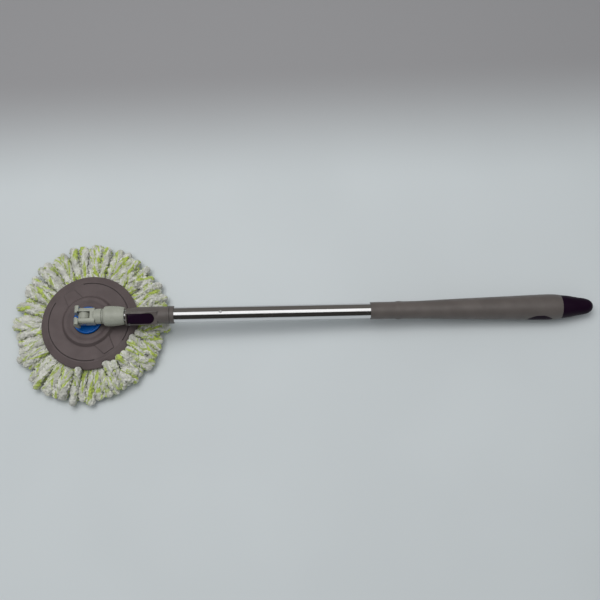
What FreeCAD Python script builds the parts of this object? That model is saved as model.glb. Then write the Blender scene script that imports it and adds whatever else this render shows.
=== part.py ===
import FreeCAD, Part
import math
import os
import re
import sys

import Sketcher
from FreeCAD import Placement, Rotation, Vector

# A hand-press spin mop, folded flat and pushed together as it is stored.
# Millimetres, +Z up. The origin is on the floor, where the spin axis of the head meets it.
# The head (plate and strands) stands on the floor around the Z axis. The pole leaves the
# fold pin along +X and comes down until the grip touches the floor.
#
# Head parts are drawn in that frame. Pole parts are drawn in the pole's own frame, with its
# origin in the fold pin, X along the pole and Z up across it, and their Placement pitches
# them down into the first frame.

DIMENSIONS = {
    # the fold pin and the pole's slope down to the floor
    "pin_height": 61,
    "pole_pitch": 3.038,
    # mop plate, from the hub bore out to the rim (radii), and its levels above the floor
    "hub_bore": 10.05,
    "seat_radius": 23.6,
    "dish_radius": 30,
    "ridge_inner": 34.5,
    "ridge_outer": 39.5,
    "ridge_foot": 43.5,
    "groove_inner": 65.5,
    "groove_outer": 67.3,
    "band_inner": 69,
    "band_outer": 78.6,
    "plate_radius": 80,
    "hub_bottom": 33,
    "seat_floor": 38,
    "seat_lip": 40.6,
    "dish_height": 39.8,
    "ridge_height": 41.5,
    "web_height": 35.5,
    "groove_floor": 33.9,
    "band_height": 35,
    "rim_shoulder": 30.6,
    "rim_top": 29.2,
    "rim_bottom": 27,
    "rim_lip": 76.5,
    "shell_inner": 64.5,
    "shell_outer": 67.5,
    "shell_height": 31.4,
    "hollow_inner": 26.5,
    "hollow_outer": 37,
    "hollow_top": 37,
    "edge_round": 1.6,
    # the two spoke pads, and the bridges in line with them that interrupt the groove
    "pad_inner": 40.5,
    "pad_outer": 62,
    "pad_top": 36.7,
    "pad_bottom": 34,
    "pad_inner_half": 13.5,
    "pad_outer_half": 9,
    "pad_bearing": -55,
    "bridge_inner": 60,
    "bridge_outer": 70,
    "bridge_top": 35.2,
    "bridge_slope": 0.445,
    "bridge_half_depth": 3,
    # refill ring, and the strands that hang on it
    "refill_inner": 44,
    "refill_radius": 78.5,
    "refill_bottom": 23.5,
    "refill_top": 26.6,
    "refill_lip_inner": 60,
    "refill_lip_outer": 63,
    "refill_lip_top": 32.8,
    "strand_inner": 38,
    "strand_under": 23.2,
    "strand_gap_radius": 80.8,
    "strand_top": 26.6,
    "strand_shoulder": 96,
    "strand_slope_radius": 114,
    "strand_slope_height": 22.5,
    "strand_edge_radius": 127,
    "strand_edge_height": 15,
    "strand_radius": 130,
    "strand_side_height": 8,
    "strand_foot_radius": 124,
    # swivel: disc, washers, screw and tongue
    "washer_inner": 10.4,
    "washer_outer": 20,
    "washer_top": 39,
    "disc_radius": 23,
    "disc_bottom": 39.05,
    "disc_top": 44.5,
    "disc_dish_radius": 19,
    "disc_dish": 43.7,
    "disc_round": 1.8,
    "spigot_radius": 9.95,
    "spigot_bottom": 32.8,
    "tongue_width": 11.2,
    "shank_width": 7,
    "tongue_head": 9.3,
    "tenon_half": 7,
    "tenon_bottom": 34,
    "pin_radius": 3,
    "pin_clearance": 0.05,
    "pin_half_length": 12.6,
    "pin_head_radius": 4.2,
    "pin_head_height": 0.8,
    "retainer_radius": 15,
    "retainer_bottom": 31.3,
    "screw_radius": 2,
    "screw_head_radius": 4.6,
    "screw_head_bottom": 28.3,
    "screw_tip": 42,
    "screw_recess": 1.4,
    "screw_recess_half": 0.8,
    # fork, neck and ferrule, measured along the pole from the fold pin
    "fork_back": -8,
    "fork_front": 18,
    "fork_half_width": 12.6,
    "fork_half_height": 10.2,
    "slot_half_width": 5.85,
    "foot_slot_half_width": 3.9,
    "foot_slot_end": -9.7,
    "slot_end": 10.6,
    "foot_back": -15.4,
    "foot_half_width": 15.6,
    "foot_half_height": 11,
    "foot_sweep": 16.2,
    "neck_start": 16,
    "neck_groove_start": 28.4,
    "neck_groove_end": 29.5,
    "neck_groove_radius": 11.7,
    "neck_end": 32.4,
    "neck_radius": 12.4,
    "neck_bevel": 1.2,
    "neck_spigot": 8.6,
    "neck_spigot_end": 60,
    "ferrule_bore": 9.5,
    "ferrule_end": 65,
    "spigot_rivet_station": 47,
    "spigot_rivet_radius": 1.6,
    # tubes, bushes and the twisted strip
    "inner_tube_radius": 9.5,
    "inner_tube_bore": 8.7,
    "inner_tube_start": 34,
    "inner_tube_end": 556,
    "outer_tube_radius": 12.5,
    "outer_tube_bore": 11.5,
    "outer_tube_start": 80,
    "outer_tube_end": 640,
    "dimple_station": 219,
    "dimple_radius": 4,
    "dimple_depth": 0.7,
    "bush_bore": 9.56,
    "bush_outer": 11.45,
    "lower_bush_start": 208,
    "lower_bush_end": 230,
    "guide_start": 533,
    "guide_end": 555.6,
    "circlip_start": 531.2,
    "circlip_end": 532.4,
    "circlip_inner": 9.5,
    "circlip_outer": 11.1,
    "housing_spigot_start": 541,
    "housing_radius": 11.1,
    "housing_bore": 5.2,
    "housing_floor": 559,
    "housing_cavity": 8.2,
    "housing_end": 575,
    "clutch_cap_start": 571,
    "nut_start": 563,
    "nut_end": 570.6,
    "nut_radius": 8,
    "nut_flange_start": 566.5,
    "nut_boss_radius": 6,
    "spring_start": 559.6,
    "spring_coil_radius": 7.2,
    "spring_wire": 0.45,
    "spring_pitch": 1.1,
    "spring_height": 2.6,
    "strip_start": 255,
    "strip_end": 634,
    "strip_width": 8,
    "strip_thickness": 1.2,
    "strip_clearance": 0.2,
    "strip_lead": 60,
    "anchor_start": 608,
    "anchor_bore": 5.2,
    "anchor_floor": 620,
    "anchor_rivet_station": 630,
    "anchor_rivet_radius": 1.6,
    "anchor_rivet_half": 12.3,
    # latch sleeve, its frame, and the lever
    "sleeve_start": 67.8,
    "sleeve_end": 144,
    "sleeve_radius": 13.9,
    "sleeve_collar_start": 133.5,
    "sleeve_groove_start": 136.4,
    "sleeve_groove_end": 137.6,
    "sleeve_collar_radius": 14.3,
    "sleeve_groove_radius": 13.5,
    "sleeve_bevel": 0.8,
    "sleeve_nose_radius": 11.8,
    "sleeve_nose_end": 90,
    "sleeve_bore": 9.85,
    "latch_facing": 38,
    "frame_start": 68.2,
    "frame_end": 118,
    "frame_half_width": 11,
    "frame_height": 17.6,
    "frame_level_end": 80,
    "frame_tail_height": 13.4,
    "frame_sweep": 18.4,
    "pocket_start": 70.2,
    "pocket_end": 113.6,
    "pocket_half_width": 8.9,
    "pocket_floor": 12.9,
    "lever_start": 71,
    "lever_end": 112.8,
    "lever_half_width": 8.5,
    "lever_under": 13.2,
    "lever_top": 17.2,
    "lever_tip_top": 15.4,
    "lever_nose_length": 5,
    "lever_sweep": 18,
    "lever_heel": 2.35,
    "latch_pin_station": 73.8,
    "latch_pin_height": 15.35,
    "latch_pin_radius": 1.3,
    "latch_pin_half": 10.6,
    "shoe_start": 71,
    "shoe_end": 77,
    "shoe_half_width": 5,
    "shoe_top": 12.7,
    # grip, inlay and end cap
    "grip_start": 461,
    "grip_straight_end": 499,
    "grip_cavity_start": 644,
    "grip_cavity": 15.2,
    "grip_end": 771.5,
    "inlay_station": 736.5,
    "inlay_length": 42,
    "inlay_height": 20,
    "inlay_floor": 18.3,
    "inlay_facing": 88,
    "cap_spigot_start": 757,
    "cap_bore": 12.6,
}

# Radii along the pole, as (station from the fold pin, radius), for the parts that swell.
PROFILES = {
    "ferrule": [
        (32.4, 14.2), (33.6, 15.5), (36, 16.1), (42, 16.4),
        (49, 16.2), (57, 15.2), (63, 14.2), (65, 13.6),
    ],
    "grip": [
        (499, 13.9), (503, 14.4), (507, 14.9), (511, 14.5), (519, 14.25), (530, 14.3), (550, 14.75),
        (576, 15.7), (641, 17.7), (705, 19.6), (735, 20.55), (754, 20.8), (765, 20.3), (771.5, 19.4),
    ],
    "cap": [
        (771.5, 19.1), (780, 18.3), (789, 17), (800, 14.9),
        (812, 12.9), (819, 10.6), (823.6, 6.8), (825.8, 2),
    ],
}

doc = FreeCAD.newDocument("spin_mop")
dims = doc.addObject("Spreadsheet::Sheet", "Dims")
parts = []


def fill_sheet():
    """Write every driving dimension to the sheet under its own name."""
    rows = dict(DIMENSIONS)
    for name, stations in PROFILES.items():
        for number, (station, radius) in enumerate(stations):
            rows[f"{name}_station_{number}"] = station
            rows[f"{name}_swell_{number}"] = radius
    for row, (alias, value) in enumerate(rows.items(), start=1):
        dims.set(f"A{row}", alias)
        dims.set(f"B{row}", str(value))
        dims.setAlias(f"B{row}", alias)
    doc.recompute()


def formula(text):
    """Turn plain names of dimensions into references to the sheet."""
    return re.sub(r"[a-z][a-z_0-9]*", lambda match: "Dims." + match.group(), str(text))


def size(text):
    """The value of a formula over the dimensions."""
    return dims.evalExpression(formula(text))


def bind(item, **formulas):
    """Bind properties of an object to formulas over the sheet."""
    for path, text in formulas.items():
        item.setExpression(path.replace("__", "."), formula(text))


def locate(item, x=0, y=0, z=0):
    """Bind the place of a primitive to formulas over the sheet."""
    bind(item, Placement__Base__x=x, Placement__Base__y=y, Placement__Base__z=z)


def block(name, x, y, z):
    """A box from three pairs of formulas, its low and high side on each axis."""
    item = doc.addObject("Part::Box", name)
    length, width, height = (f"({high}) - ({low})" for low, high in (x, y, z))
    bind(item, Length=length, Width=width, Height=height)
    locate(item, x[0], y[0], z[0])
    return item


def rod(name, axis, radius, span, across=(0, 0)):
    """A cylinder along X, Y or Z over a span, with its centre line at two formulas across it."""
    item = doc.addObject("Part::Cylinder", name)
    bind(item, Radius=radius, Height=f"({span[1]}) - ({span[0]})")
    if axis == "X":
        item.Placement.Rotation = Rotation(Vector(0, 1, 0), 90)
        locate(item, span[0], across[0], across[1])
    elif axis == "Y":
        item.Placement.Rotation = Rotation(Vector(1, 0, 0), -90)
        locate(item, across[0], span[0], across[1])
    else:
        locate(item, across[0], across[1], span[0])
    return item


def ball(name, radius, x, z):
    """A sphere centred in the XZ plane."""
    item = doc.addObject("Part::Sphere", name)
    bind(item, Radius=radius)
    locate(item, x, 0, z)
    return item


def fuse(name, *pieces):
    item = doc.addObject("Part::MultiFuse", name)
    item.Shapes = list(pieces)
    return item


def common(name, *pieces):
    item = doc.addObject("Part::MultiCommon", name)
    item.Shapes = list(pieces)
    return item


def cut(name, base, *tools):
    item = doc.addObject("Part::Cut", name)
    item.Base = base
    item.Tool = tools[0] if len(tools) == 1 else fuse(name + "_tools", *tools)
    return item


def turned(name, piece, degrees):
    """A copy of a piece turned about the pole, so that its top faces the given way round."""
    return placed(name, piece, facing(degrees))


def facing(degrees):
    """The turn about the pole that points the top of a piece the given way round."""
    return Placement(Vector(0, 0, 0), Rotation(Vector(1, 0, 0), size(degrees)))


def placed(name, piece, placement):
    """A piece taken as drawn and then placed."""
    item = doc.addObject("Part::Compound", name)
    item.Links = [piece]
    item.Placement = placement
    return item


def rounded(name, base, radius, chosen):
    """Round the edges of a piece that a test picks out."""
    doc.recompute()
    item = doc.addObject("Part::Fillet", name)
    item.Base = base
    length = size(radius)
    edges = enumerate(base.Shape.Edges, start=1)
    item.Edges = [(number, length, length) for number, edge in edges if chosen(edge)]
    return item


def plane(body, role):
    """One of the origin planes of a body."""
    return next(feature for feature in body.Origin.OriginFeatures if feature.Role == role)


def outline(body, name, role, points):
    """A closed sketch of straight lines on an origin plane, each corner bound to two formulas."""
    sketch = body.newObject("Sketcher::SketchObject", name)
    sketch.AttachmentSupport = (plane(body, role), [""])
    sketch.MapMode = "FlatFace"
    corners = [Vector(size(u), size(v), 0) for u, v in points]
    count = len(corners)
    for number, corner in enumerate(corners):
        sketch.addGeometry(Part.LineSegment(corner, corners[(number + 1) % count]), False)
    for number in range(count):
        sketch.addConstraint(Sketcher.Constraint("Coincident", number, 2, (number + 1) % count, 1))
    for number, ((u, v), corner) in enumerate(zip(points, corners)):
        for kind, text, value in (("DistanceX", u, corner.x), ("DistanceY", v, corner.y)):
            place = sketch.addConstraint(Sketcher.Constraint(kind, number, 1, value))
            sketch.setExpression(f"Constraints[{place}]", formula(text))
    return sketch


def lathe(name, axis, points):
    """A body turned from an outline in the XZ plane, about Z for (r, z) and about X for (x, r)."""
    body = doc.addObject("PartDesign::Body", name)
    sketch = outline(body, name + "_outline", "XZ_Plane", points)
    turning = body.newObject("PartDesign::Revolution", name + "_turned")
    turning.Profile = sketch
    turning.ReferenceAxis = (sketch, ["V_Axis" if axis == "Z" else "H_Axis"])
    turning.Angle = 360
    body.Tip = turning
    return body


def tube(name, axis, inner, outer, low, high):
    """A plain ring or tube."""
    if axis == "Z":
        return lathe(name, axis, [(inner, low), (outer, low), (outer, high), (inner, high)])
    return lathe(name, axis, [(low, inner), (high, inner), (high, outer), (low, outer)])


def slab(name, points, half_width):
    """A body padded both ways from an outline in the XZ plane."""
    body = doc.addObject("PartDesign::Body", name)
    sketch = outline(body, name + "_outline", "XZ_Plane", points)
    pad = body.newObject("PartDesign::Pad", name + "_pad")
    pad.Profile = sketch
    pad.Midplane = True
    bind(pad, Length=f"2 * {half_width}")
    body.Tip = pad
    return body


def spindle(name, profile):
    """A smooth round piece lofted through the circles of a profile along the pole."""
    circles = []
    for number in range(len(PROFILES[profile])):
        circle = doc.addObject("Part::Circle", f"{name}_circle_{number}")
        circle.Placement.Rotation = Rotation(Vector(0, 1, 0), 90)
        bind(circle, Radius=f"{profile}_swell_{number}")
        locate(circle, x=f"{profile}_station_{number}")
        circles.append(circle)
    item = doc.addObject("Part::Loft", name)
    item.Sections = circles
    item.Solid = True
    return item


def twisted_bar(width, thickness, start, end):
    """A flat bar along the pole, twisted one turn in each lead, right-handed."""
    step = 15
    lead = size("strip_lead")
    stride = lead * step / 360
    first = math.floor((start - size("strip_start")) / stride)
    last = math.ceil((end - size("strip_start")) / stride)
    sides = ((-1, -1), (1, -1), (1, 1), (-1, 1))
    corners = [Vector(0, y * width / 2, z * thickness / 2) for y, z in sides]
    sections = []
    for number in range(first, last + 1):
        section = Part.makePolygon(corners + corners[:1])
        section.rotate(Vector(0, 0, 0), Vector(1, 0, 0), number * step)
        section.translate(Vector(size("strip_start") + number * stride, 0, 0))
        sections.append(section)
    return Part.makeLoft(sections, True)


def shaped(name, shape):
    """An object that holds a shape made with Part's own functions."""
    item = doc.addObject("Part::Feature", name)
    item.Shape = shape
    return item


def keep(item, label, placement=None):
    """Count a finished object as a sub-part under its own label."""
    item.Label = label
    if placement is not None:
        item.Placement = placement
    parts.append(item)


def flat_circle(radius, level):
    """A test for a round edge about Z with the given radius and level."""
    def chosen(edge):
        curve = edge.Curve
        return (isinstance(curve, Part.Circle) and abs(curve.Radius - size(radius)) < 0.01
                and abs(curve.Center.z - size(level)) < 0.01)
    return chosen


fill_sheet()
POLE = Placement(Vector(0, 0, size("pin_height")), Rotation(Vector(0, 1, 0), size("pole_pitch")))


# The head: plate, refill ring, strands and the washer that the swivel turns on.

def make_mop_plate():
    web = lathe("plate_web", "Z", [
        ("hub_bore", "hub_bottom"), ("hollow_inner", "hub_bottom"), ("hollow_inner", "hollow_top"),
        ("hollow_outer", "hollow_top"), ("hollow_outer", "hub_bottom"), ("shell_inner", "hub_bottom"),
        ("shell_outer", "shell_height"), ("rim_lip", "rim_bottom"), ("plate_radius", "rim_bottom"),
        ("plate_radius", "rim_top"), ("band_outer", "rim_shoulder"), ("band_inner", "band_height"),
        ("groove_outer", "band_height"), ("groove_outer", "groove_floor"), ("groove_inner", "groove_floor"),
        ("groove_inner", "web_height"), ("ridge_foot", "web_height"), ("ridge_outer", "ridge_height"),
        ("ridge_inner", "ridge_height"), ("dish_radius", "dish_height"), ("seat_radius", "seat_lip"),
        ("seat_radius", "seat_floor"), ("hub_bore", "seat_floor")])
    edges = [("ridge_outer", "ridge_height"), ("ridge_inner", "ridge_height"), ("ridge_foot", "web_height")]
    tests = [flat_circle(radius, level) for radius, level in edges]
    smooth = rounded("plate_rounded", web, "edge_round", lambda edge: any(test(edge) for test in tests))
    pads = []
    for number in range(2):
        pad = slab(f"spoke_pad_{number}", [
            ("pad_inner", "-pad_inner_half"), ("pad_outer", "-pad_outer_half"),
            ("pad_outer", "pad_outer_half"), ("pad_inner", "pad_inner_half")], "(pad_top - pad_bottom) / 2")
        middle = (size("pad_top") + size("pad_bottom")) / 2
        lying = Rotation(Vector(1, 0, 0), -90)
        bearing = Rotation(Vector(0, 0, 1), size("pad_bearing") + 180 * number)
        pad.Placement = Placement(Vector(0, 0, middle), bearing.multiply(lying))
        arc = tube(f"bridge_ring_{number}", "Z", "groove_inner - 0.2", "groove_outer + 0.2",
                   "groove_floor - 0.4", "bridge_top")
        wedge = slab(f"bridge_wedge_{number}", [
            ("bridge_inner", "-bridge_inner * bridge_slope"),
            ("bridge_outer", "-bridge_outer * bridge_slope"),
            ("bridge_outer", "bridge_outer * bridge_slope"),
            ("bridge_inner", "bridge_inner * bridge_slope")], "bridge_half_depth")
        wedge.Placement = Placement(Vector(0, 0, middle), bearing.multiply(lying))
        pads += [pad, common(f"groove_bridge_{number}", arc, wedge)]
    keep(fuse("mop_plate_fused", smooth, *pads), "mop_plate")


def make_refill():
    keep(lathe("refill_ring_body", "Z", [
        ("refill_inner", "refill_bottom"), ("refill_radius", "refill_bottom"),
        ("refill_radius", "refill_top"), ("refill_lip_outer", "refill_top"),
        ("refill_lip_outer", "refill_lip_top"),
        ("refill_lip_inner", "refill_lip_top"), ("refill_lip_inner", "refill_top"),
        ("refill_inner", "refill_top")]), "refill_ring")
    keep(lathe("strand_ring_body", "Z", [
        ("strand_inner", "0"), ("strand_foot_radius", "0"), ("strand_radius", "strand_side_height"),
        ("strand_edge_radius", "strand_edge_height"), ("strand_slope_radius", "strand_slope_height"),
        ("strand_shoulder", "strand_top"), ("strand_gap_radius", "strand_top"),
        ("strand_gap_radius", "strand_under"), ("strand_inner", "strand_under")]), "strand_ring")


# The swivel: it turns about Z in the plate and carries the tongue of the fold joint.

def make_swivel():
    keep(tube("thrust_washer_body", "Z", "washer_inner", "washer_outer", "seat_floor", "washer_top"),
         "thrust_washer")
    blank = lathe("disc_blank", "Z", [
        ("0", "spigot_bottom"), ("spigot_radius", "spigot_bottom"), ("spigot_radius", "disc_bottom"),
        ("disc_radius", "disc_bottom"), ("disc_radius", "disc_top"), ("disc_dish_radius + 1", "disc_top"),
        ("disc_dish_radius", "disc_dish"), ("0", "disc_dish")])
    smooth = rounded("disc_rounded", blank, "disc_round", flat_circle("disc_radius", "disc_top"))
    flat = ("-shank_width / 2", "shank_width / 2")
    tenon = ("-tenon_half", "tenon_half")
    socket = block("tenon_socket", tenon, flat, ("tenon_bottom", "disc_top"))
    screw_way = rod("disc_screw_way", "Z", "screw_radius", ("spigot_bottom", "tenon_bottom"))
    keep(cut("swivel_disc_cut", smooth, socket, screw_way), "swivel_disc")

    shank = block("tongue_shank", ("-tongue_head", "tongue_head"), flat, ("disc_dish", "pin_height"))
    foot = block("tongue_tenon", tenon, flat, ("tenon_bottom", "disc_dish"))
    barrel = ("-tongue_width / 2", "tongue_width / 2")
    head = rod("tongue_round", "Y", "tongue_head", barrel, ("0", "pin_height"))
    loose = "pin_radius + pin_clearance"
    pin_way = rod("tongue_pin_way", "Y", loose, barrel, ("0", "pin_height"))
    screw_hole = rod("tongue_screw_hole", "Z", "screw_radius", ("tenon_bottom", "screw_tip"))
    tongue = fuse("tongue_fused", shank, foot, head)
    keep(cut("pivot_tongue_cut", tongue, pin_way, screw_hole), "pivot_tongue")

    keep(tube("retainer_washer_body", "Z", "screw_radius", "retainer_radius", "retainer_bottom",
              "spigot_bottom"), "retainer_washer")
    screw = lathe("screw_blank", "Z", [
        ("0", "screw_head_bottom"), ("screw_head_radius - 1", "screw_head_bottom"),
        ("screw_head_radius", "screw_head_bottom + 1"), ("screw_head_radius", "retainer_bottom"),
        ("screw_radius", "retainer_bottom"), ("screw_radius", "screw_tip - 1"), ("0", "screw_tip")])
    slots = []
    for number, (x_half, y_half) in enumerate((("screw_head_radius - 1.6", "screw_recess_half"),
                                               ("screw_recess_half", "screw_head_radius - 1.6"))):
        slots.append(block(f"screw_slot_{number}", (f"-({x_half})", x_half), (f"-({y_half})", y_half),
                           ("screw_head_bottom", "screw_head_bottom + screw_recess")))
    keep(cut("swivel_screw_cut", screw, *slots), "swivel_screw")


# The lower pole: fork, fold pin, ferrule and inner tube, with the clutch at its top end.

def make_fork():
    arms = block("fork_block", ("fork_back", "fork_front"), ("-fork_half_width", "fork_half_width"),
                 ("-fork_half_height", "fork_half_height"))
    def long_corner(edge):
        box = edge.BoundBox
        return box.XLength > 10 and box.YLength < 0.1 and box.ZLength < 0.1
    soft_arms = rounded("fork_arms", arms, "edge_round * 2.6", long_corner)
    foot_width = ("-foot_half_width", "foot_half_width")
    foot_block = block("foot_block", ("foot_back", "fork_back + 0.5"), foot_width,
                       ("-foot_half_height", "foot_half_height"))
    foot_round = rod("foot_round", "Y", "foot_sweep", foot_width)
    foot = common("fork_foot", foot_block, foot_round)
    neck = lathe("neck_body", "X", [
        ("neck_start", "0"), ("neck_start", "neck_radius - neck_bevel"),
        ("neck_start + neck_bevel", "neck_radius"), ("neck_groove_start", "neck_radius"),
        ("neck_groove_start", "neck_groove_radius"), ("neck_groove_end", "neck_groove_radius"),
        ("neck_groove_end", "neck_radius"), ("neck_end", "neck_radius"), ("neck_end", "neck_spigot"),
        ("neck_spigot_end - neck_bevel", "neck_spigot"), ("neck_spigot_end", "neck_spigot - neck_bevel"),
        ("neck_spigot_end", "0")])
    solid = fuse("fork_fused", soft_arms, foot, neck)
    slot = block("fork_slot", ("foot_slot_end", "slot_end"), ("-slot_half_width", "slot_half_width"),
                 ("-foot_half_height - 6", "foot_half_height + 6"))
    foot_slot = block("foot_slot", ("foot_back - 1", "slot_end"),
                      ("-foot_slot_half_width", "foot_slot_half_width"),
                      ("-foot_half_height - 6", "foot_half_height + 6"))
    pin_way = rod("fork_pin_way", "Y", "pin_radius", ("-fork_half_width - 1", "fork_half_width + 1"))
    rivet_way = rod("spigot_rivet_way", "Y", "spigot_rivet_radius", ("-ferrule_bore", "ferrule_bore"),
                    ("spigot_rivet_station", "0"))
    keep(cut("neck_fork_cut", solid, slot, foot_slot, pin_way, rivet_way), "neck_fork", POLE)
    pin_head = "pin_half_length + pin_head_height"
    shank = rod("pin_shank", "Y", "pin_radius", ("-pin_half_length", "pin_half_length"))
    heads = [rod("pin_head_0", "Y", "pin_head_radius", ("pin_half_length", pin_head)),
             rod("pin_head_1", "Y", "pin_head_radius", (f"-({pin_head})", "-pin_half_length"))]
    keep(fuse("fold_pin_fused", shank, *heads), "fold_pin", POLE)


def make_ferrule():
    bulb = spindle("ferrule_swell", "ferrule")
    bore = rod("ferrule_bore_way", "X", "ferrule_bore", ("neck_end", "ferrule_end"))
    keep(cut("pole_ferrule_cut", bulb, bore), "pole_ferrule", POLE)
    blank = tube("inner_tube_blank", "X", "inner_tube_bore", "inner_tube_radius", "inner_tube_start",
                 "inner_tube_end")
    rivet_way = rod("inner_tube_rivet_way", "Y", "spigot_rivet_radius", ("-ferrule_bore", "ferrule_bore"),
                    ("spigot_rivet_station", "0"))
    keep(cut("inner_tube_cut", blank, rivet_way), "inner_tube", POLE)
    rivet = rod("spigot_rivet_rod", "Y", "spigot_rivet_radius",
                ("-inner_tube_radius + 0.3", "inner_tube_radius - 0.3"), ("spigot_rivet_station", "0"))
    keep(placed("spigot_rivet_placed", rivet, POLE), "spigot_rivet")


def make_clutch():
    keep(lathe("clutch_housing_body", "X", [
        ("housing_spigot_start", "housing_bore"), ("housing_floor", "housing_bore"),
        ("housing_floor", "housing_cavity"), ("housing_end", "housing_cavity"),
        ("housing_end", "housing_radius"), ("inner_tube_end", "housing_radius"),
        ("inner_tube_end", "inner_tube_bore"), ("housing_spigot_start", "inner_tube_bore")]),
        "clutch_housing", POLE)
    keep(tube("clutch_cap_body", "X", "housing_bore", "housing_cavity", "clutch_cap_start", "housing_end"),
         "clutch_cap", POLE)
    nut = lathe("nut_blank", "X", [
        ("nut_start", "0"), ("nut_start", "nut_boss_radius"), ("nut_flange_start", "nut_boss_radius"),
        ("nut_flange_start", "nut_radius"), ("nut_end", "nut_radius"), ("nut_end", "0")])
    play = size("2 * strip_clearance")
    way = twisted_bar(size("strip_width") + play, size("strip_thickness") + play,
                      size("nut_start") - 1, size("nut_end") + 1)
    keep(cut("drive_nut_cut", nut, shaped("nut_strip_way", way)), "drive_nut", POLE)
    keep(placed("clutch_spring_placed", shaped("clutch_spring_coil", spring_coil()), POLE), "clutch_spring")
    keep(tube("guide_bush_body", "X", "bush_bore", "bush_outer", "guide_start", "guide_end"),
         "guide_bush", POLE)
    keep(tube("circlip_body", "X", "circlip_inner", "circlip_outer", "circlip_start", "circlip_end"),
         "retaining_circlip", POLE)


def spring_coil():
    """A short round-wire coil about the pole."""
    radius = size("spring_coil_radius")
    helix = Part.makeHelix(size("spring_pitch"), size("spring_height"), radius)
    wire = Part.Wire(Part.makeCircle(size("spring_wire"), Vector(radius, 0, 0), Vector(0, 1, 0)))
    coil = Part.Wire(helix).makePipeShell([wire], True, True)
    coil.rotate(Vector(0, 0, 0), Vector(0, 1, 0), 90)
    coil.translate(Vector(size("spring_start"), 0, 0))
    return coil


# The handle: outer tube with the twisted strip, latch sleeve and lever, grip and end cap.

def make_outer_tube():
    blank = tube("outer_tube_blank", "X", "outer_tube_bore", "outer_tube_radius", "outer_tube_start",
                 "outer_tube_end")
    dimple = ball("tube_dimple", "dimple_radius", "dimple_station",
                  "outer_tube_radius + dimple_radius - dimple_depth")
    rivet_way = rod("tube_rivet_way", "Y", "anchor_rivet_radius",
                    ("-outer_tube_radius - 1", "outer_tube_radius + 1"), ("anchor_rivet_station", "0"))
    keep(cut("outer_tube_cut", blank, dimple, rivet_way), "outer_tube", POLE)
    keep(tube("lower_bush_body", "X", "bush_bore + 0.2", "bush_outer + 0.05", "lower_bush_start",
              "lower_bush_end"), "lower_bush", POLE)


def make_strip():
    width = size("strip_width")
    thickness = size("strip_thickness")
    bar = shaped("strip_bar", twisted_bar(width, thickness, size("strip_start"), size("strip_end")))
    across = ("-outer_tube_radius", "outer_tube_radius")
    rivet_way = rod("strip_rivet_way", "Y", "anchor_rivet_radius", across, ("anchor_rivet_station", "0"))
    keep(cut("twisted_strip_cut", bar, rivet_way), "twisted_strip", POLE)
    plug = lathe("anchor_blank", "X", [
        ("anchor_start", "anchor_bore"), ("anchor_floor", "anchor_bore"), ("anchor_floor", "0"),
        ("outer_tube_end", "0"), ("outer_tube_end", "outer_tube_bore"), ("anchor_start", "outer_tube_bore")])
    held = twisted_bar(width, thickness, size("anchor_floor") - 1, size("strip_end"))
    seat = shaped("anchor_strip_seat", held)
    plug_rivet_way = rod("anchor_rivet_way", "Y", "anchor_rivet_radius", across, ("anchor_rivet_station", "0"))
    keep(cut("strip_anchor_cut", plug, seat, plug_rivet_way), "strip_anchor", POLE)
    rivet = rod("anchor_rivet_rod", "Y", "anchor_rivet_radius", ("-anchor_rivet_half", "anchor_rivet_half"),
                ("anchor_rivet_station", "0"))
    keep(placed("anchor_rivet_placed", rivet, POLE), "anchor_rivet")


def round_nosed(name, bottom, top):
    """A block and a round end for it, from the start to the end that name has in the sheet."""
    half = f"{name}_half_width"
    middle = f"{name}_end - {half}"
    straight = block(f"{name}_straight", (f"{name}_start", middle), (f"-{half}", half), (bottom, top))
    nose = rod(f"{name}_nose", "Z", half, (bottom, top), (middle, "0"))
    return straight, nose


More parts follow.
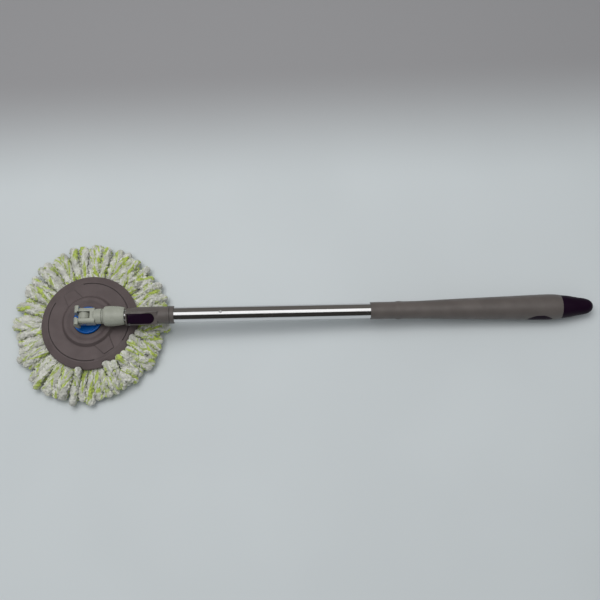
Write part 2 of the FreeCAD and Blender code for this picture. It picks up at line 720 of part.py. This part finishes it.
def make_latch():
    sleeve = lathe("sleeve_body", "X", [
        ("sleeve_start", "sleeve_bore"), ("outer_tube_start", "sleeve_bore"),
        ("outer_tube_start", "outer_tube_radius"), ("sleeve_end", "outer_tube_radius"),
        ("sleeve_end", "sleeve_collar_radius - sleeve_bevel / 2"),
        ("sleeve_end - sleeve_bevel / 2", "sleeve_collar_radius"),
        ("sleeve_groove_end", "sleeve_collar_radius"), ("sleeve_groove_end", "sleeve_groove_radius"),
        ("sleeve_groove_start", "sleeve_groove_radius"), ("sleeve_groove_start", "sleeve_collar_radius"),
        ("sleeve_collar_start", "sleeve_collar_radius"), ("sleeve_collar_start", "sleeve_radius"),
        ("sleeve_nose_end", "sleeve_radius"),
        ("sleeve_start + sleeve_bevel", "sleeve_nose_radius"),
        ("sleeve_start", "sleeve_nose_radius - sleeve_bevel")])
    hump = slab("frame_hump", [
        ("frame_start", "sleeve_bore"), ("frame_start", "frame_height"),
        ("frame_level_end", "frame_height"), ("frame_end", "frame_tail_height"),
        ("frame_end", "sleeve_bore")], "frame_half_width")
    sweep = rod("frame_sweep_way", "X", "frame_sweep", ("frame_start", "frame_end"))
    ring = cut("frame_ring", common("frame_common", hump, sweep),
               rod("frame_tube_way", "X", "outer_tube_radius", ("frame_start", "frame_end")))
    pocket = fuse("lever_pocket", *round_nosed("pocket", "pocket_floor", "frame_sweep + 2"))
    window = block("shoe_window", ("shoe_start", "shoe_end"), ("-shoe_half_width", "shoe_half_width"),
                   ("sleeve_bore - 3", "frame_sweep"))
    pin_way = rod("latch_pin_way", "Y", "latch_pin_radius", ("-latch_pin_half", "latch_pin_half"),
                  ("latch_pin_station", "latch_pin_height"))
    tools = [turned("facing_" + tool.Name, tool, "latch_facing") for tool in (pocket, window, pin_way)]
    body = fuse("sleeve_fused", sleeve, turned("facing_frame", ring, "latch_facing"))
    keep(cut("latch_sleeve_cut", body, *tools), "latch_sleeve", POLE)

    around = POLE.multiply(facing("latch_facing"))
    plate = slab("lever_plate", [
        ("latch_pin_station", "lever_under"), ("lever_end", "lever_under"),
        ("lever_end", "lever_tip_top - 1"), ("lever_end - lever_nose_length", "lever_tip_top"),
        ("latch_pin_station + 4", "lever_top"), ("latch_pin_station", "lever_top + 0.6")], "lever_half_width")
    heel = rod("lever_heel_round", "Y", "lever_heel", ("-lever_half_width", "lever_half_width"),
               ("latch_pin_station", "latch_pin_height"))
    lever_sweep = rod("lever_sweep_way", "X", "lever_sweep", ("pocket_start", "pocket_end"))
    lever_shape = fuse("lever_outline", *round_nosed("lever", "lever_under - 3", "frame_sweep + 2"))
    lever_blank = common("lever_blank", fuse("lever_fused", plate, heel), lever_sweep, lever_shape)
    lever_way = rod("lever_pin_way", "Y", "latch_pin_radius + pin_clearance",
                    ("-lever_half_width", "lever_half_width"), ("latch_pin_station", "latch_pin_height"))
    keep(cut("latch_lever_cut", lever_blank, lever_way), "latch_lever", around)

    pin = rod("latch_pin_rod", "Y", "latch_pin_radius", ("-latch_pin_half", "latch_pin_half"),
              ("latch_pin_station", "latch_pin_height"))
    keep(placed("latch_pin_placed", pin, around), "latch_pin")
    shoe_block = block("shoe_block", ("shoe_start", "shoe_end"), ("-shoe_half_width", "shoe_half_width"),
                       ("sleeve_bore - 3", "shoe_top"))
    shoe_way = rod("shoe_tube_way", "X", "sleeve_bore", ("sleeve_start", "outer_tube_start"))
    keep(cut("brake_shoe_cut", shoe_block, shoe_way), "brake_shoe", around)


def make_grip():
    nose = rod("grip_nose", "X", "grip_swell_0", ("grip_start", "grip_straight_end"))
    outside = fuse("grip_outside", nose, spindle("grip_swell", "grip"))
    bore = rod("grip_tube_way", "X", "outer_tube_radius", ("grip_start", "outer_tube_end"))
    cavity = rod("grip_cavity_way", "X", "grip_cavity", ("grip_cavity_start", "grip_end"))
    bow = "(inlay_length * inlay_length / 4 + inlay_height * inlay_height / 4) / inlay_height"
    lens = []
    for number, sign in enumerate(("", "-")):
        offset = f"{sign}({bow} - inlay_height / 2)"
        lens.append(rod(f"inlay_bow_{number}", "Z", bow, ("inlay_floor", "grip_swell_11 + 5"),
                        ("inlay_station", offset)))
    eye = turned("inlay_eye", common("inlay_lens", *lens), "inlay_facing")
    keep(cut("grip_cut", outside, bore, cavity, eye), "grip", POLE)
    keep(common("grip_inlay_common", spindle("grip_swell_copy", "grip"), eye), "grip_inlay", POLE)
    dome = spindle("cap_swell", "cap")
    spigot = rod("cap_spigot", "X", "grip_cavity", ("cap_spigot_start", "grip_end"))
    hollow = rod("cap_hollow", "X", "cap_bore", ("cap_spigot_start", "grip_end + 14"))
    keep(cut("end_cap_cut", fuse("cap_fused", dome, spigot), hollow), "end_cap", POLE)


make_mop_plate()
make_refill()
make_swivel()
make_fork()
make_ferrule()
make_clutch()
make_outer_tube()
make_strip()
make_latch()
make_grip()
doc.recompute()

faults = [item.Name for item in doc.Objects if {"Invalid", "Error"} & set(item.State)]
for item in parts:
    if item.Shape.isNull() or not item.Shape.isValid():
        faults.append(item.Label)
if faults:
    sys.exit("failed objects: " + ", ".join(faults))

os.makedirs("parts", exist_ok=True)
for item in parts:
    item.Shape.exportStep(f"parts/{item.Label}.step")
    box = item.Shape.BoundBox
    print(f"{item.Label:20s} solids {len(item.Shape.Solids)} volume {item.Shape.Volume / 1000:8.2f} cm3"
          f"  z {box.ZMin:7.2f} {box.ZMax:7.2f}")
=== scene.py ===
"""Looks of the flat-head spin mop: materials on the CAD nodes, and the chenille fringe.

The fringe is built here as fat chenille fingers with round ends, which stand for the plain
collision ring of the CAD model. Everything is in the frame of the model. Scene lengths are in
metres, and the fringe is worked out in millimetres.
"""

import math
import random

import bpy
import numpy as np
from mathutils import Matrix, Vector, noise


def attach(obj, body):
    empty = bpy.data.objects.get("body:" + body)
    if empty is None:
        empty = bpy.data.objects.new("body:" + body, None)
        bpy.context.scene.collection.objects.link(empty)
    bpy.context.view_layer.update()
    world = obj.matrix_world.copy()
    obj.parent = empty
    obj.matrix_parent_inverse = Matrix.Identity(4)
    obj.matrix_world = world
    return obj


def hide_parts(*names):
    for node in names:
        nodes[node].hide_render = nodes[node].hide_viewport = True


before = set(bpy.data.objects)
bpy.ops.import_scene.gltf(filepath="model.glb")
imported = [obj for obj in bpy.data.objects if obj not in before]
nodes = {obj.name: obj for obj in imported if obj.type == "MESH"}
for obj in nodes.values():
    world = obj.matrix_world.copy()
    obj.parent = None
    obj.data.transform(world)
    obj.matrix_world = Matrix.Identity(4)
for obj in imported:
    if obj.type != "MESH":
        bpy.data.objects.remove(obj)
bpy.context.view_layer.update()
MM = 0.001


# ---------------------------------------------------------------- materials


class Finish:
    """A material with its node tree. Values may be numbers or the sockets of other nodes."""

    def __init__(self, name, **sockets):
        self.material = bpy.data.materials.new(name)
        self.material.use_nodes = True
        self.tree = self.material.node_tree
        self.shader = next(n for n in self.tree.nodes if n.type == "BSDF_PRINCIPLED")
        for socket, value in sockets.items():
            self.shader.inputs[socket.replace("_", " ")].default_value = value

    def add(self, kind, values, **settings):
        """A shader node of that kind, with values on its inputs."""
        node = self.tree.nodes.new("ShaderNode" + kind)
        for key, value in settings.items():
            setattr(node, key, value)
        for key, value in values.items():
            if isinstance(value, bpy.types.NodeSocket):
                self.tree.links.new(value, node.inputs[key])
            else:
                node.inputs[key].default_value = value
        return node

    def place(self, stretch=(1, 1, 1)):
        """Object coordinates in metres, times stretch."""
        where = self.add("TexCoord", {}).outputs["Object"]
        return self.add("Mapping", {"Vector": where, "Scale": stretch}).outputs["Vector"]

    def cloud(self, vector, scale, detail=3.0, low=0.35, high=0.65, to=(0.0, 1.0)):
        """Noise between to[0] and to[1]."""
        raw = self.add("TexNoise", {"Vector": vector, "Scale": scale, "Detail": detail})
        return self.ramp(raw.outputs["Fac"], low, high, to)

    def ramp(self, value, low, high, to=(0.0, 1.0)):
        """value taken smoothly from low..high to the two values of to."""
        ends = {"From Min": low, "From Max": high, "To Min": to[0], "To Max": to[1]}
        node = self.add("MapRange", {"Value": value, **ends}, interpolation_type="SMOOTHSTEP")
        return node.outputs["Result"]

    def mix(self, factor, first, second):
        """Colour first blended into colour second by factor."""
        node = self.add("Mix", {}, data_type="RGBA")
        for key, value in ((0, factor), (6, first), (7, second)):
            if isinstance(value, bpy.types.NodeSocket):
                self.tree.links.new(value, node.inputs[key])
            else:
                node.inputs[key].default_value = value
        return node.outputs[2]

    def math(self, operation, first, second):
        node = self.add("Math", {0: first, 1: second}, operation=operation)
        return node.outputs[0]

    def feed(self, **links):
        """Link sockets to the inputs of the surface shader."""
        for socket, source in links.items():
            self.tree.links.new(source, self.shader.inputs[socket.replace("_", " ")])


def tint(colour, gain):
    """The colour made gain times as bright."""
    return (*(min(1.0, c * gain) for c in colour[:3]), 1.0)


def plastic(name, colour, rough, edge=1.35, round_mm=0.35, grain=0.22, specular=0.5):
    """Moulded plastic: faint flow mottling, a fine spark-eroded grain, light edges that are partly
    wear and partly painted highlight, and painted shade in crevices.
    """
    f = Finish(name, Specular_IOR_Level=specular)
    at = f.place()
    mottle = f.cloud(at, 38.0, 4.0)
    base = f.mix(mottle, tint(colour, 0.93), tint(colour, 1.07))
    soft = f.add("Bevel", {"Radius": round_mm * MM}, samples=4).outputs["Normal"]
    true = f.add("NewGeometry", {}).outputs["True Normal"]
    facing = f.add("VectorMath", {0: soft, 1: true}, operation="DOT_PRODUCT").outputs["Value"]
    # Painted shade: crevices and recesses are darkened towards three tenths of the colour by
    # ambient occlusion.
    ao_for_painted_shade = f.add("AmbientOcclusion", {"Distance": 3.0 * MM}, samples=6).outputs["AO"]
    base = f.mix(f.ramp(ao_for_painted_shade, 0.5, 0.98, (0.85, 0.0)), base, tint(colour, 0.3))
    # Lightened edges: partly wear, partly a painted highlight along the rounded edges; edge sets
    # how light they get.
    edge_wear_and_highlight = f.math("MULTIPLY", f.ramp(facing, 0.999, 0.93), f.cloud(at, 160.0, 3.0, to=(0.25, 0.9)))
    f.feed(Base_Color=f.mix(edge_wear_and_highlight, base, tint(colour, edge)))
    f.feed(Roughness=f.cloud(at, 90.0, 5.0, to=(rough - 0.05, rough + 0.07)))
    fine = f.add("TexNoise", {"Vector": at, "Scale": 1700.0, "Detail": 2.0}).outputs["Fac"]
    bump = {"Height": fine, "Strength": grain, "Distance": 0.15 * MM, "Normal": soft}
    f.feed(Normal=f.add("Bump", bump).outputs["Normal"])
    return f.material


def metal(name, colour, rough, streak=(1, 1, 1), scratch=0.05):
    """Bright metal with polishing streaks along the axis that streak leaves short."""
    f = Finish(name, Metallic=1.0)
    at = f.place(streak)
    haze = f.cloud(at, 6.0, 4.0)
    f.feed(Base_Color=f.mix(haze, tint(colour, 0.94), colour))
    f.feed(Roughness=f.cloud(at, 9.0, 6.0, to=(rough * 0.7, rough * 1.4)))
    lines = f.add("TexNoise", {"Vector": at, "Scale": 14.0, "Detail": 6.0}).outputs["Fac"]
    soft = f.add("Bevel", {"Radius": 0.2 * MM}, samples=4).outputs["Normal"]
    bump = {"Height": lines, "Strength": scratch, "Distance": 0.1 * MM, "Normal": soft}
    f.feed(Normal=f.add("Bump", bump).outputs["Normal"])
    return f.material


def woven(name, colour):
    """Tape of the refill: crossed threads 0.9 mm apart."""
    f = Finish(name, Specular_IOR_Level=0.2, Sheen_Weight=0.3, Sheen_Roughness=0.5)
    at = f.place()
    warp = f.add("TexWave", {"Vector": at, "Scale": 350.0, "Distortion": 1.0}, bands_direction="X")
    weft = f.add("TexWave", {"Vector": at, "Scale": 350.0, "Distortion": 1.0}, bands_direction="Y")
    weave = f.math("MULTIPLY", warp.outputs["Fac"], weft.outputs["Fac"])
    f.feed(Base_Color=f.mix(weave, tint(colour, 0.7), colour))
    f.feed(Roughness=f.cloud(at, 300.0, to=(0.8, 0.95)))
    bump = {"Height": weave, "Strength": 0.5, "Distance": 0.3 * MM}
    f.feed(Normal=f.add("Bump", bump).outputs["Normal"])
    return f.material


def chenille(name):
    """Microfibre chenille: white and pale grey pile with elongated lime flecks, darkened by
    painted shade in its creases and in the low places of the fine pile.

    It follows two attributes of the mesh: "yarn", a place that runs with the finger, and
    "puff", 0 in the creases between puffs of pile and 1 on them, which sets the painted shade in
    the creases.
    """
    f = Finish(name, Specular_IOR_Level=0.15, Sheen_Weight=0.35, Sheen_Roughness=0.6)
    along = f.add("Attribute", {}, attribute_name="yarn").outputs["Vector"]
    dye = f.add("Mapping", {"Vector": along, "Scale": (40.0, 160.0, 160.0)}).outputs["Vector"]
    fleck = f.add("TexNoise", {"Vector": dye, "Scale": 1.0, "Detail": 2.0}).outputs["Fac"]
    fleck = f.ramp(fleck, 0.50, 0.61)
    pale = f.add("Mapping", {"Vector": along, "Scale": (60.0, 120.0, 120.0)}).outputs["Vector"]
    shade = f.cloud(pale, 1.0, 2.0, 0.38, 0.62)
    white = f.mix(shade, WHITE_YARN, GREY_YARN)
    lime = f.mix(f.cloud(along, 210.0), LIME_YARN, tint(LIME_YARN, 0.6))
    pile = f.add("TexNoise", {"Vector": along, "Scale": 900.0, "Detail": 3.0}).outputs["Fac"]
    crease = f.add("Attribute", {}, attribute_name="puff").outputs["Fac"]
    colour = f.mix(fleck, white, lime)
    # Painted shade: the creases between puffs of pile are darkened.
    colour = f.mix(f.ramp(crease, 0.0, 0.7, (0.65, 0.0)), colour, CREASE_SHADE_YARN)
    # Painted shade: the low places of the fine pile are darkened by up to a quarter.
    f.feed(Base_Color=f.mix(f.ramp(pile, 0.62, 0.35, (0.0, 0.25)), colour, PILE_SHADE_YARN))
    f.feed(Roughness=f.ramp(pile, 0.3, 0.7, (0.82, 0.98)))
    bump = {"Height": pile, "Strength": 0.8, "Distance": 0.8 * MM}
    f.feed(Normal=f.add("Bump", bump).outputs["Normal"])
    return f.material


WHITE_YARN = (0.72, 0.715, 0.66, 1.0)
GREY_YARN = (0.50, 0.495, 0.45, 1.0)
LIME_YARN = (0.50, 0.63, 0.065, 1.0)
# Colour of the painted shade in the creases between puffs of pile.
CREASE_SHADE_YARN = (0.36, 0.40, 0.26, 1.0)
# Colour of the painted shade in the low places of the fine pile.
PILE_SHADE_YARN = (0.42, 0.44, 0.36, 1.0)

TAUPE_PLATE = (0.112, 0.088, 0.087, 1)
TAUPE_HANDLE = (0.120, 0.104, 0.096, 1)
PLUM = (0.012, 0.004, 0.013, 1)
JOINT_GREY = (0.34, 0.35, 0.295, 1)
BLUE = (0.0006, 0.095, 0.38, 1)
NYLON = (0.62, 0.61, 0.56, 1)
RUBBER = (0.018, 0.018, 0.018, 1)
CHROME = (0.80, 0.80, 0.81, 1)
ZINC = (0.62, 0.62, 0.62, 1)
TAPE = (0.72, 0.73, 0.71, 1)

FINISHES = {
    "plate_taupe": plastic("plate_plastic", TAUPE_PLATE, 0.46, grain=0.3, specular=0.35),
    "handle_taupe": plastic("handle_plastic", TAUPE_HANDLE, 0.42, grain=0.35, specular=0.45),
    "dark_plum": plastic("plum_plastic", PLUM, 0.42, edge=2.0, specular=0.07),
    "joint_grey": plastic("joint_plastic", JOINT_GREY, 0.25, edge=1.2, grain=0.15),
    "swivel_blue": plastic("blue_plastic", BLUE, 0.22, edge=1.8, grain=0.12, specular=0.4),
    "inner_nylon": plastic("nylon", NYLON, 0.40, edge=1.1),
    "shoe_rubber": plastic("rubber", RUBBER, 0.75, edge=1.8, grain=0.5),
    "tube_steel": metal("polished_tube", CHROME, 0.10, (1.5, 60, 60)),
    "hardware_steel": metal("zinc_steel", ZINC, 0.28, (12, 12, 40), 0.12),
    "refill_white": woven("refill_tape", TAPE),
    "strand_yarn": chenille("chenille_yarn"),
}

# The slots of the CAD nodes are named after the materials of the parts.
for node in nodes.values():
    for holder in node.material_slots:
        holder.material = FINISHES[holder.material.name]


# ---------------------------------------------------------------- the fringe

STRAND = 5.9  # radius of one finger of the fringe, mm
ROOT_SHARE = 0.78  # a finger's radius at its root, as a share of STRAND
SWELL = 0.34  # how much that share grows towards the tip
LOBES = 0.13  # how far its two twisted yarns stand out, as a share of the radius
TWIST = 105.0  # length in which the two yarns go once round each other, mm
STEP = 1.2  # spacing of rings along a finger, mm
SIDES = 28
ROUNDING = 1.05  # length of the round end, in radii
TAPER = 9.0  # length over which a finger grows out of its root, mm
PUFF_SIZE, PUFF_HEIGHT, PUFF_SINK, PUFF_LIMIT = 4.2, 6.8, 1.35, 0.42  # puffs of pile, mm
PILL_SIZE, PILL_HEIGHT = 2.1, 0.55  # finer lumps on them, mm
CREASE = 0.22  # noise below which a place counts as a crease between puffs
GROUND = 0.15  # where the fringe rests, mm


def spline(points, step):
    """Points about step apart on a smooth line through points (Catmull-Rom)."""
    p = np.array([2 * points[0] - points[1], *points, 2 * points[-1] - points[-2]], float)
    t = np.linspace(0, 1, 24, endpoint=False)[:, None]
    parts = []
    for a, b, c, d in zip(p, p[1:], p[2:], p[3:]):
        square = 2 * a - 5 * b + 4 * c - d
        cube = 3 * b - a - 3 * c + d
        parts.append(0.5 * (2 * b + (c - a) * t + square * t**2 + cube * t**3))
    line = np.vstack([*parts, p[-2][None]])
    return respaced(line, step)


def respaced(line, step):
    """The same line with its points evenly spaced, about step apart."""
    run = np.concatenate([[0], np.cumsum(np.linalg.norm(np.diff(line, axis=0), axis=1))])
    at = np.linspace(0, run[-1], max(4, round(run[-1] / step)))
    return np.stack([np.interp(at, run, line[:, k]) for k in range(3)], axis=1)


def frames(line):
    """Tangents and two cross directions that turn as little as they can along line."""
    tangent = np.gradient(line, axis=0)
    tangent /= np.linalg.norm(tangent, axis=1)[:, None]
    side = np.empty_like(line)
    first = np.cross((0.0, 0.0, 1.0), tangent[0])
    if np.linalg.norm(first) < 1e-3:
        first = np.array((1.0, 0.0, 0.0))
    side[0] = first / np.linalg.norm(first)
    for i in range(1, len(line)):
        turned = side[i - 1] - tangent[i] * side[i - 1].dot(tangent[i])
        side[i] = turned / np.linalg.norm(turned)
    return tangent, side, np.cross(tangent, side)


class Yarns:
    """Closed fingers of chenille, gathered into one piece."""

    def __init__(self):
        self.points, self.faces, self.yarn, self.puffs = [], [], [], []
        self.count = 0

    def finger(self, points, seed, size, hand):
        """One finger from its root through points to its tip.

        It is a loop of chenille twisted with itself, hand +1 or -1, with a round end and a
        puffy pile. size is its thickness as a share of STRAND.
        """
        line = spline([np.array(p, float) for p in points], STEP)
        _, side, up = frames(line)
        total = len(line)
        run = np.arange(total) * STEP
        left = run[::-1]
        radius = STRAND * size * (ROOT_SHARE + SWELL * run / run[-1])
        cap = np.clip(left / (ROUNDING * radius), 0, 1)
        radius = radius * np.sqrt(np.maximum(0.012, 1 - (1 - cap) ** 2))
        radius = radius * np.minimum(1, 0.45 + run / TAPER)
        radius = radius * (1 + 0.05 * np.sin(run / 1.7 + seed) * cap)
        angle = np.linspace(0, 2 * math.pi, SIDES, endpoint=False)
        pitch = TWIST * (0.8 + 0.5 * math.sin(seed * 5) ** 2)
        turn = seed * 2.1 + hand * 2 * math.pi * run / pitch
        ply = angle[None] - turn[:, None]
        lobes = 1 + LOBES * np.cos(2 * ply) * cap[:, None] ** 0.5
        across, along = np.cos(angle)[None, :, None], np.sin(angle)[None, :, None]
        ring = across * side[:, None] + along * up[:, None]
        skin = (line[:, None] + ring * (radius[:, None] * lobes)[:, :, None]).reshape(-1, 3)
        shift = Vector((seed, -seed, 3 * seed))
        puffs = np.array([abs(noise.noise(Vector(p) / PUFF_SIZE + shift)) for p in skin])
        pills = np.array([noise.noise(Vector(p) / PILL_SIZE - shift) for p in skin])
        push = PUFF_HEIGHT * np.minimum(puffs, PUFF_LIMIT) - PUFF_SINK + PILL_HEIGHT * pills
        soft = np.repeat(0.35 + 0.65 * cap, SIDES)
        skin += ring.reshape(-1, 3) * (push * soft)[:, None]
        skin[:, 2] = np.maximum(skin[:, 2], GROUND)
        self.points.append(skin)
        self.puffs.append(np.clip(puffs / CREASE, 0, 1))
        around = np.stack([np.cos(ply), np.sin(ply)], axis=2).reshape(-1, 2) * STRAND * MM
        along = np.repeat(run, SIDES)[:, None] * MM + seed * 0.731
        self.yarn.append(np.hstack([along, around + (0, seed * 0.113)]))
        self.close(total)

    def close(self, total):
        """Faces between the last total rings of points, and over both ends."""
        base = self.count
        for i in range(total - 1):
            low, high = base + i * SIDES, base + (i + 1) * SIDES
            for j in range(SIDES):
                k = (j + 1) % SIDES
                self.faces.append((low + j, low + k, high + k, high + j))
        self.faces.append(tuple(base + j for j in reversed(range(SIDES))))
        self.faces.append(tuple(base + (total - 1) * SIDES + j for j in range(SIDES)))
        self.count += total * SIDES

    def piece(self, name):
        """The fingers as one object on the head."""
        mesh = bpy.data.meshes.new(name)
        mesh.from_pydata((np.vstack(self.points) * MM).tolist(), [], self.faces)
        mesh.attributes.new("yarn", "FLOAT_VECTOR", "POINT").data.foreach_set(
            "vector", np.vstack(self.yarn).astype(np.float32).ravel()
        )
        mesh.attributes.new("puff", "FLOAT", "POINT").data.foreach_set(
            "value", np.concatenate(self.puffs).astype(np.float32)
        )
        mesh.polygons.foreach_set("use_smooth", [True] * len(mesh.polygons))
        mesh.materials.append(FINISHES["strand_yarn"])
        obj = bpy.data.objects.new(name, mesh)
        bpy.context.scene.collection.objects.link(obj)
        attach(obj, "head")
        return obj


def polar(radius, bearing, height):
    """A point in mm, from its distance and bearing about the spin axis."""
    turn = math.radians(bearing)
    return (radius * math.cos(turn), radius * math.sin(turn), height)


def reach(bearing):
    """How far the fringe spreads at that bearing: it was laid down pushed out of round."""
    turn = math.radians(bearing)
    pushed = 5.0 * math.sin(turn) - 3.5 * math.cos(turn)
    return 133.5 + pushed - 4.2 * math.cos(2 * turn) + 2.5 * math.cos(3 * turn)


draw = random.Random(41)


def loop(yarns, path, thinnest, thickest):
    """Add a finger along path, with its seed, size and twist drawn at random."""
    seed = draw.uniform(0, 40)
    yarns.finger(path, seed, draw.uniform(thinnest, thickest), draw.choice((-1, 1)))


def layer(name, number, start, stations, short, ragged, drift):
    """A ring of fingers from bearing start, as one piece.

    stations are (distance, height) from root to tip: the first two distances are in mm, the
    rest are shares of the reach less short. ragged is how far lengths differ, as a share,
    and drift how far tips lean sideways, in degrees.
    """
    yarns = Yarns()
    for i in range(number):
        bearing = start + 360.0 * (i + draw.uniform(-0.22, 0.22)) / number
        tip = (reach(bearing) - short) * (1 + draw.uniform(-ragged, ragged * 0.55))
        lean, lift = draw.uniform(-drift, drift), draw.uniform(-1.0, 1.0)
        sway = draw.uniform(-1.0, 1.0)
        path = []
        for n, (share, height) in enumerate(stations):
            out = n / (len(stations) - 1)
            bend = lean * out + sway * math.sin(math.pi * out)
            rise = lift * math.sin(math.pi * out)
            radius = share if n < 2 else share * tip
            path.append(polar(radius, bearing + bend, height + rise))
        loop(yarns, path, 0.94, 1.08)
    return yarns.piece(name)


UPPER = ((64, 15.5), (78, 17.5), (0.71, 20.5), (0.83, 19.0), (0.93, 14.0), (1.0, 9.5))
MIDDLE = ((58, 9.5), (78, 10.0), (0.76, 11.0), (0.89, 9.0), (1.0, 7.0))
UNDER = ((46, 7.0), (60, 7.0), (0.60, 7.0), (0.80, 7.0), (0.95, 7.0))

fringe = layer("fringe_upper", 54, 0.0, UPPER, 0.0, 0.04, 2.6)
layer("fringe_middle", 48, 3.4, MIDDLE, 5.0, 0.04, 2.6)
layer("fringe_under", 40, 1.0, UNDER, 12.0, 0.05, 3.0)
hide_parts("strand_ring")


RIM_TUFTS = (*(-66 + 7.4 * i for i in range(9)), -98)  # bearings, degrees
EDGE_TUFTS = tuple(-74 + 3.9 * i for i in range(34))


def clear(bearing):
    """Whether a tuft there stays out from under the pole."""
    return not -8 < bearing < 13


def tufts():
    """Short loops pushed up against the plate edge and over it where the mop was set down."""
    yarns = Yarns()
    for middle in RIM_TUFTS:
        bearing = middle + draw.uniform(-2, 2)
        if clear(bearing):
            over, crest = 75 + draw.uniform(-4, 4), 30.0 + draw.uniform(-1, 1.5)
            lean = draw.uniform(-5, 5)
            path = [
                polar(108, bearing + lean, 17.0),
                polar(101, bearing + lean * 0.7, 25.5),
                polar(92, bearing + lean * 0.3, crest),
                polar((over + 92) / 2, bearing, crest + 4.0),
                polar(over, bearing - lean * 0.3, crest + 4.5),
            ]
            loop(yarns, path, 0.84, 0.96)
    for middle in EDGE_TUFTS:
        bearing = middle + draw.uniform(-3, 3)
        if clear(bearing):
            lean = draw.uniform(-9, 9)
            start = 92 + draw.uniform(-4, 10)
            path = [
                polar(start, bearing, 19.0),
                polar(start + 7, bearing + lean * 0.4, 25.0 + draw.uniform(-1, 2.5)),
                polar(start + 15, bearing + lean * 0.8, 22.5),
                polar(start + 21, bearing + lean, 15.0),
            ]
            loop(yarns, path, 0.78, 0.92)
    yarns.piece("fringe_tufts")


tufts()


# ---------------------------------------------------------------- floor, light, camera

FLOOR_LIGHT = (0.622, 0.660, 0.672, 1.0)
# Painted shade: the grey the floor takes towards its back, standing for light falling off there.
FLOOR_FAR_SHADE = (0.322, 0.318, 0.326, 1.0)


def floor():
    """A wide painted floor, just under the mop, darkened by painted shade to grey towards its back
    (+Y).
    """
    mesh = bpy.data.meshes.new("floor")
    half = 40.0
    low = -0.0003
    corners = [(-half, -half, low), (half, -half, low), (half, half, low), (-half, half, low)]
    mesh.from_pydata(corners, [], [(0, 1, 2, 3)])
    f = Finish("floor_paint", Specular_IOR_Level=0.2)
    at = f.place()
    far = f.add("SeparateXYZ", {"Vector": at}).outputs["Y"]
    # Painted shade: towards +Y the floor is blended into the grey of its back.
    back = f.ramp(far, 0.24, 0.50)
    tone = f.mix(f.cloud(at, 3.0, 2.0), FLOOR_LIGHT, tint(FLOOR_LIGHT, 0.97))
    f.feed(Base_Color=f.mix(back, tone, FLOOR_FAR_SHADE))
    f.feed(Roughness=f.cloud(at, 5.0, to=(0.6, 0.75)))
    mesh.materials.append(f.material)
    obj = bpy.data.objects.new("floor", mesh)
    bpy.context.scene.collection.objects.link(obj)


floor()


def softbox(name, place, target, size, power, mirrored):
    """A rectangular lamp at place that faces target. It shows in reflections if mirrored."""
    lamp = bpy.data.lights.new(name, "AREA")
    lamp.shape = "RECTANGLE"
    lamp.size, lamp.size_y = size
    lamp.energy = power
    obj = bpy.data.objects.new(name, lamp)
    bpy.context.scene.collection.objects.link(obj)
    obj.location = place
    facing = (Vector(target) - Vector(place)).to_track_quat("-Z", "Y")
    obj.rotation_euler = facing.to_euler()
    obj.visible_camera = False
    obj.visible_glossy = mirrored


softbox("overhead", (0.35, -0.10, 1.9), (0.35, -0.10, 0), (2.4, 1.4), 11.5, True)
softbox("key", (-0.25, 0.6, 2.5), (0.25, 0.0, 0), (2.0, 1.5), 30.5, False)


def studio():
    """A dim world. In reflections it is warmer, and brighter towards the back (+Y)."""
    world = bpy.data.worlds.new("studio")
    bpy.context.scene.world = world
    world.use_nodes = True
    sky = world.node_tree
    backdrop = sky.nodes["Background"]
    ray = sky.nodes.new("ShaderNodeLightPath")
    where = sky.nodes.new("ShaderNodeTexCoord")
    split = sky.nodes.new("ShaderNodeSeparateXYZ")
    sky.links.new(where.outputs["Generated"], split.inputs[0])
    side = sky.nodes.new("ShaderNodeMapRange")
    side.inputs["From Min"].default_value = -0.4
    side.inputs["From Max"].default_value = 0.6
    side.inputs["To Min"].default_value = 0.03
    side.inputs["To Max"].default_value = 0.13
    sky.links.new(split.outputs["Y"], side.inputs["Value"])
    pick = sky.nodes.new("ShaderNodeMix")
    pick.inputs[2].default_value = 0.28
    sky.links.new(ray.outputs["Is Glossy Ray"], pick.inputs[0])
    sky.links.new(side.outputs["Result"], pick.inputs[3])
    seen = sky.nodes.new("ShaderNodeMix")
    seen.inputs[3].default_value = 0.6
    sky.links.new(ray.outputs["Is Camera Ray"], seen.inputs[0])
    sky.links.new(pick.outputs[0], seen.inputs[2])
    sky.links.new(seen.outputs[0], backdrop.inputs["Strength"])
    tinge = sky.nodes.new("ShaderNodeMix")
    tinge.data_type = "RGBA"
    tinge.inputs[6].default_value = (0.93, 0.97, 1.0, 1.0)
    tinge.inputs[7].default_value = (1.0, 0.95, 0.86, 1.0)
    sky.links.new(ray.outputs["Is Glossy Ray"], tinge.inputs[0])
    sky.links.new(tinge.outputs[2], backdrop.inputs["Color"])


studio()

camera = bpy.data.cameras.new("camera")
camera.sensor_width = 36.0
camera.lens = 48.0
camera.clip_end = 200.0
viewer = bpy.data.objects.new("camera", camera)
bpy.context.scene.collection.objects.link(viewer)
viewer.matrix_world = (
    Matrix.Translation((0.3734, -0.4017, 1.2742))
    @ Matrix.Rotation(math.radians(3.59), 4, "Z")
    @ Matrix.Rotation(math.radians(90 - 71.03), 4, "X")
    @ Matrix.Rotation(math.radians(-5.55), 4, "Z")
)
bpy.context.scene.camera = viewer
bpy.context.scene.view_settings.view_transform = "Standard"
